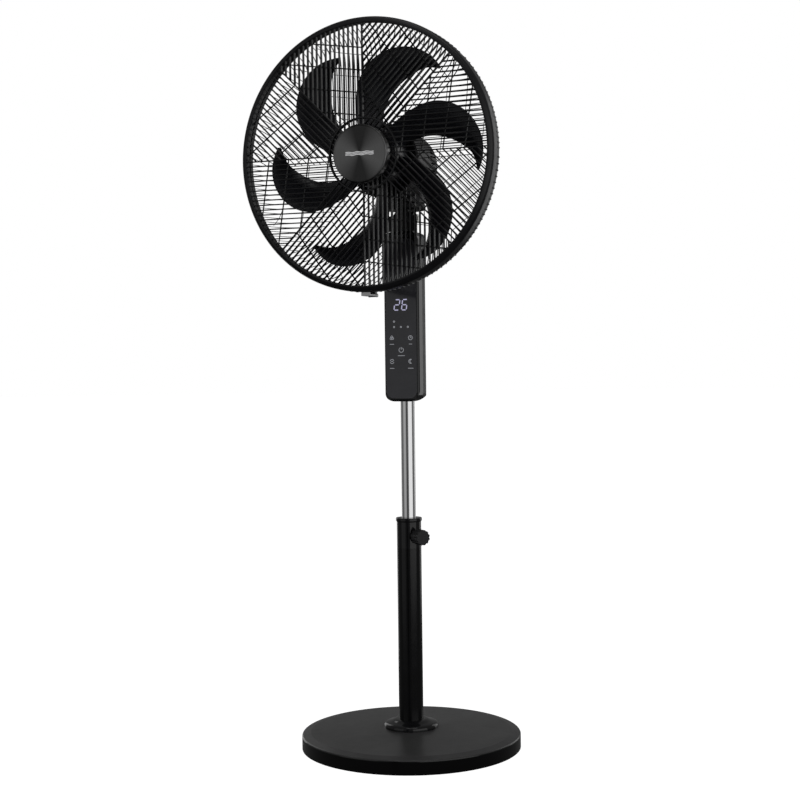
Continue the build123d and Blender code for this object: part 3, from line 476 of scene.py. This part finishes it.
def rear_guard():
    """Rear grille: the same pinwheel on a dish, ribs ending as teeth round the rim."""
    builder = bmesh.new()
    tooth = [(REAR_BORE + 1.0, 150.0), (221.0, 147.6), (223.4, 147.2), (RIM_R, 149.2), (RIM_R, SEAM - 0.8),
             (REAR_BORE + 1.0, SEAM - 0.8)]
    for start, end, bearing in grille_lines(REAR_RIB_END):
        along, across = direction(bearing), direction(bearing + 90.0)
        bar_along(builder, rear_path(start, end, 14), REAR_RIB_W, REAR_RIB_D, across)
        offset = end.dot(across)
        faces = []
        for side in (-TOOTH_HALF, TOOTH_HALF):
            corners = []
            for radius, forward in tooth:
                reach = math.sqrt(radius ** 2 - offset ** 2)
                spot = along * reach + across * (offset + side)
                corners.append(builder.verts.new(head_point(spot.x, spot.y, forward)))
            faces.append(corners)
        builder.faces.new(faces[0])
        builder.faces.new(list(reversed(faces[1])))
        for corner in range(len(tooth)):
            after = (corner + 1) % len(tooth)
            builder.faces.new((faces[0][corner], faces[1][corner], faces[1][after], faces[0][after]))
    for start, end, bearing in cross_lines(REAR_BAR_END):
        path = [(across, up, forward - REAR_BAR_SETBACK)
                for across, up, forward in rear_path(start, end, 8)]
        bar_along(builder, path, REAR_BAR_W, REAR_BAR_D, direction(bearing + 90.0), REAR_BAR_BEVEL)
    rim = rounded([(REAR_BORE, 149.0), (221.5, 147.2), (224.3, 149.0), (224.3, SEAM - 0.4),
                   (REAR_BORE, SEAM - 0.4)], 1.2)
    lathe(builder, rim, RIM_SEGMENTS)
    plate = rounded([(22.2, 92.1), (63.0, 92.1), (63.0, 95.0), (61.0, 98.0), (58.0, 98.0), (57.0, 95.0),
                     (22.2, 95.0)], 0.8)
    lathe(builder, plate, RING_SEGMENTS)
    piece = to_object(builder, "rear_guard_moulding", "guard_plastic", "head")
    part_of(piece, "guard_plastic", "rear_guard")


def latch_lug():
    """Lug under the rear rim that carries the latch pin."""
    low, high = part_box("latch_pin")
    builder = bmesh.new()
    centre_y, centre_z = -(low.y + high.y) / 2 / MM, (low.z + high.z) / 2 / MM
    corners = rounded([(-4.2, -2.6), (4.2, -2.6), (4.2, 7.0), (-4.2, 7.0)], 1.6, 4)
    sides = []
    for x in (-5.0, 5.0):
        sides.append([builder.verts.new((x * MM, -(centre_y + f) * MM, (centre_z + h) * MM))
                      for f, h in corners])
    builder.faces.new(sides[0])
    builder.faces.new(list(reversed(sides[1])))
    for index in range(len(corners)):
        after = (index + 1) % len(corners)
        builder.faces.new((sides[0][index], sides[1][index], sides[1][after], sides[0][after]))
    part_of(to_object(builder, "latch_lug", "guard_plastic", "head"), "guard_plastic")


WAVE_LENGTH, WAVE_GAP, WAVE_HEIGHT = 50, 2.2, 0.6     # of the air waves on the badge


def badge():
    """Spun badge disc with a raised lip, and three generic air waves on it."""
    front, back = -badge_low.y / MM, -badge_high.y / MM
    radius = (badge_high.x - badge_low.x) / 2 / MM
    builder = bmesh.new()
    profile = rounded([(0.5, back), (radius - 0.4, back), (radius, front - 2.0),
                       (radius - 1.2, front - 0.3), (radius - 2.4, front), (radius - 3.2, front - 0.5),
                       (0.5, front - 0.2)], 0.6)
    lathe(builder, profile, BADGE_SEGMENTS)
    part_of(to_object(builder, "badge_disc", "badge", "head"), "badge", "front_badge")
    waves = []
    for row in (-1, 0, 1):
        waves.append([(step - WAVE_LENGTH / 2,
                       row * WAVE_GAP + WAVE_HEIGHT * math.sin(step / WAVE_LENGTH * 6 * math.pi))
                      for step in range(WAVE_LENGTH + 1)])
    strokes("badge_waves", waves, 1.2, lambda x, z: head_point(x, z, 0), -badge_low.y - 0.0005,
            "white_mark_painted_glow", "head", 0.0005)


# ---- flat marks: places in mm, the surface they lie on and their thickness in metres ---
ARC_STEPS = 24
PANEL_FACE = -panel_low.y + 0.00002                  # marks lie this far forward, just clear of the panel
DIGIT_STROKE, DIGIT_GAP, ICON_STROKE = 1.9, 1.1, 1.1
SIDE, LAMP_SIDE = 17.5, 13.0                         # sideways place of the outer icons and lamps
LAMP_ROW, FAN_ROW, POWER_ROW, SWING_ROW = 740.0, 721.0, 700.0, 680.0


def strokes(name, lines, width, place, forward, slot, body, thickness=0.00025):
    """Thin raised marks: each line is a ribbon of the given width, on a surface that far forward."""
    builder = bmesh.new()
    for line in lines:
        closed = len(line) > 3 and (Vector(line[0]) - Vector(line[-1])).length < 1e-6
        points = [Vector(p) for p in (line[:-1] if closed else line)]
        count = len(points)
        rails = []
        for index, point in enumerate(points):
            before = points[index - 1] if index or closed else point
            after = points[(index + 1) % count] if index < count - 1 or closed else point
            run = (after - before).normalized()
            side = Vector((-run.y, run.x)) * width / 2
            column = []
            for offset, depth in ((side, 0), (-side, 0), (-side, thickness), (side, thickness)):
                spot = place(point.x + offset.x, point.y + offset.y)
                spot.y = -(forward + depth)
                column.append(builder.verts.new(spot))
            rails.append(column)
        pairs = list(zip(rails, rails[1:]))
        if closed:
            pairs.append((rails[-1], rails[0]))
        else:
            builder.faces.new(rails[0])
            builder.faces.new(list(reversed(rails[-1])))
        for column, following in pairs:
            for corner in range(4):
                after = (corner + 1) % 4
                builder.faces.new((column[corner], column[after], following[after], following[corner]))
    part_of(to_object(builder, name, slot, body, smooth=False), "panel" if body == "mast" else "badge")


def panel_point(x, z):
    """Point on the panel from mm."""
    return Vector((x * MM, panel_low.y, z * MM))


def circle(x, z, radius, start=0.0, end=360.0):
    """Arc as a line of points."""
    return [(x + radius * math.cos(math.radians(start + (end - start) * step / ARC_STEPS)),
             z + radius * math.sin(math.radians(start + (end - start) * step / ARC_STEPS)))
            for step in range(ARC_STEPS + 1)]


def digits():
    """The lit two-digit temperature, 26, as seven-segment strokes."""
    centre_z, height, width, slant = 778.5, 18.0, 9.0, 0.14
    corners = {"a": ((0, 1), (1, 1)), "b": ((1, 1), (1, 0.5)), "c": ((1, 0.5), (1, 0)),
               "d": ((0, 0), (1, 0)), "e": ((0, 0.5), (0, 0)), "f": ((0, 1), (0, 0.5)),
               "g": ((0, 0.5), (1, 0.5))}
    lit = {"2": "abged", "6": "afgedc"}
    lines = []
    for place, digit in ((-7.0, "2"), (7.0, "6")):
        for segment in lit[digit]:
            ends = []
            for across, up in corners[segment]:
                x = place + (across - 0.5) * width + (up - 0.5) * height * slant
                ends.append(Vector((x, centre_z + (up - 0.5) * height)))
            trim = (ends[1] - ends[0]).normalized() * DIGIT_GAP
            lines.append([tuple(ends[0] + trim), tuple(ends[1] - trim)])
    strokes("display_digits", lines, DIGIT_STROKE, panel_point, PANEL_FACE, "digits", "mast")


def icons():
    """Generic touch marks: lamps, fan speed, timer, power, swing and sleep, each over a short dash."""
    lines = [circle(-LAMP_SIDE, LAMP_ROW + 9.5, 1.3), circle(-LAMP_SIDE, LAMP_ROW, 1.2),
             circle(0.0, LAMP_ROW, 1.2), circle(LAMP_SIDE, LAMP_ROW, 1.2)]
    for turn in (90, 210, 330):
        lines.append(circle(-SIDE + 1.9 * math.cos(math.radians(turn)),
                            FAN_ROW + 1.9 * math.sin(math.radians(turn)), 1.7))
    lines += [circle(SIDE, FAN_ROW, 3.6), [(SIDE, FAN_ROW), (SIDE, FAN_ROW + 2.4)],
              [(SIDE, FAN_ROW), (SIDE + 1.8, FAN_ROW)]]
    lines += [circle(0.0, POWER_ROW, 4.2, 120.0, 420.0), [(0.0, POWER_ROW + 0.6), (0.0, POWER_ROW + 5.0)]]
    lines += [circle(-SIDE, SWING_ROW, 3.6, 200.0, 340.0), circle(-SIDE, SWING_ROW, 3.6, 20.0, 160.0),
              [(-SIDE - 2.1, SWING_ROW), (-SIDE + 2.1, SWING_ROW)]]
    lines += [circle(SIDE, SWING_ROW, 3.6, 60.0, 300.0), circle(SIDE + 1.8, SWING_ROW, 3.2, 110.0, 250.0)]
    dashes = ((-SIDE, FAN_ROW - 11.0, 4.0), (SIDE, FAN_ROW - 11.0, 3.0), (0.0, POWER_ROW - 10.0, 6.5),
              (-SIDE, SWING_ROW - 12.0, 4.0), (SIDE, SWING_ROW - 12.0, 5.0))
    for x, z, half in dashes:
        lines.append([(x - half, z), (x + half, z)])
    strokes("panel_icons", lines, ICON_STROKE, panel_point, PANEL_FACE, "icons", "mast")


front_guard()
rear_guard()
latch_lug()
badge()
digits()
icons()


# ---- stage, lights and camera --------------------------------------------------------
def build_stage():
    """Plain pale floor, far wider than the view."""
    builder = bmesh.new()
    bmesh.ops.create_circle(builder, cap_ends=True, radius=30.0, segments=96)
    mesh = bpy.data.meshes.new("floor")
    builder.to_mesh(mesh)
    builder.free()
    floor = bpy.data.objects.new("floor", mesh)
    floor.location.z = -0.0005
    bpy.context.scene.collection.objects.link(floor)
    material, tree, shader = new_material("floor_white")
    tint = blend_colour(tree, noise(tree, 2.0), (0.30, 0.30, 0.30), (0.34, 0.34, 0.34))
    tree.links.new(tint, shader.inputs["Base Color"])
    shader.inputs["Roughness"].default_value = 0.9
    shader.inputs["Specular IOR Level"].default_value = 0.0
    shader.inputs["Emission Color"].default_value = (1, 1, 1, 1)
    shader.inputs["Emission Strength"].default_value = 1.0
    mesh.materials.append(material)
    floor.visible_glossy = False
    floor.visible_diffuse = False


def build_world():
    """White backdrop for the eye; the object itself sees a dim room, darker near the floor."""
    world = bpy.data.worlds.new("studio")
    bpy.context.scene.world = world
    world.use_nodes = True
    tree = world.node_tree
    shader = tree.nodes["Background"]
    place = tree.nodes.new("ShaderNodeTexCoord")
    room = ramp(tree, split(tree, place.outputs["Generated"])["Z"], 0.04, 0.16, -0.35, -0.02)
    path = tree.nodes.new("ShaderNodeLightPath")
    strength = tree.nodes.new("ShaderNodeMix")
    strength.inputs["B"].default_value = 1.0
    tree.links.new(path.outputs["Is Camera Ray"], strength.inputs["Factor"])
    tree.links.new(room, strength.inputs["A"])
    tree.links.new(strength.outputs["Result"], shader.inputs["Strength"])
    shader.inputs["Color"].default_value = (1, 1, 1, 1)


def soft_light(name, place, target, size, power):
    """Square soft box aimed at a point."""
    data = bpy.data.lights.new(name, "AREA")
    data.shape = "RECTANGLE"
    data.size, data.size_y = size
    data.energy = power
    lamp = bpy.data.objects.new(name, data)
    lamp.location = place
    lamp.rotation_euler = (Vector(target) - Vector(place)).to_track_quat("-Z", "Y").to_euler()
    lamp.visible_camera = False
    bpy.context.scene.collection.objects.link(lamp)


def black_card(name, place, target, size):
    """Dark flag that only shows in reflections, as on a product table."""
    mesh = bpy.data.meshes.new(name)
    half_w, half_h = size[0] / 2, size[1] / 2
    corners = [(-half_w, -half_h, 0), (half_w, -half_h, 0), (half_w, half_h, 0), (-half_w, half_h, 0)]
    mesh.from_pydata(corners, [], [(0, 1, 2, 3)])
    card = bpy.data.objects.new(name, mesh)
    card.location = place
    card.rotation_euler = (Vector(target) - Vector(place)).to_track_quat("-Z", "Y").to_euler()
    mesh.materials.append(MATERIALS["rubber"])
    card.visible_camera = False
    card.visible_shadow = False
    card.visible_diffuse = False
    bpy.context.scene.collection.objects.link(card)


FAN_TURN = 22.02                  # degrees that the fan stands turned to the viewer's left
CAMERA_DISTANCE, CAMERA_HEIGHT = 2.5926, 0.6805
CAMERA_PAN, CAMERA_PITCH, CAMERA_ROLL = 0.29, 1.51, -0.70      # degrees
FOCAL_LENGTH, SENSOR_WIDTH = 66.33, 36.0                       # mm


def build_camera():
    """Camera at the photograph's bearing, height and focal length."""
    turn, bearing = math.radians(FAN_TURN), math.radians(FAN_TURN + CAMERA_PAN)
    pitch, roll = math.radians(CAMERA_PITCH), math.radians(CAMERA_ROLL)
    data = bpy.data.cameras.new("camera")
    data.sensor_width = SENSOR_WIDTH
    data.lens = FOCAL_LENGTH
    camera = bpy.data.objects.new("camera", data)
    bpy.context.scene.collection.objects.link(camera)
    ahead = Vector((-math.sin(bearing) * math.cos(pitch), math.cos(bearing) * math.cos(pitch),
                    -math.sin(pitch)))
    right = Vector((math.cos(bearing), math.sin(bearing), 0))
    up = right.cross(ahead)
    rolled_right = right * math.cos(roll) + up * math.sin(roll)
    rolled_up = up * math.cos(roll) - right * math.sin(roll)
    camera.matrix_world = Matrix((
        (rolled_right.x, rolled_up.x, -ahead.x, CAMERA_DISTANCE * math.sin(turn)),
        (rolled_right.y, rolled_up.y, -ahead.y, -CAMERA_DISTANCE * math.cos(turn)),
        (rolled_right.z, rolled_up.z, -ahead.z, CAMERA_HEIGHT),
        (0, 0, 0, 1)))
    bpy.context.scene.camera = camera


build_stage()
build_world()
soft_light("left_box", (-1.75, -2.7, 1.0), (0, 0, 0.7), (2.5, 2.8), 5.4)
soft_light("right_box", (2.9, -1.6, 1.1), (0, 0, 0.7), (4.2, 2.8), 29.0)
soft_light("back_right", (1.3, 2.8, 1.0), (0, 0, 0.8), (1.6, 2.6), 9.0)
soft_light("back_left", (-2.2, 1.6, 0.9), (0, 0, 0.8), (1.2, 2.6), 8.0)
soft_light("top_box", (0.3, -0.6, 3.6), (0, 0, 0.8), (1.8, 1.8), 10.0)
black_card("card_centre", (0.30, -2.9, 0.8), (0, 0, 0.6), (0.5, 3.0))
build_camera()
bpy.context.scene.view_settings.view_transform = "Standard"
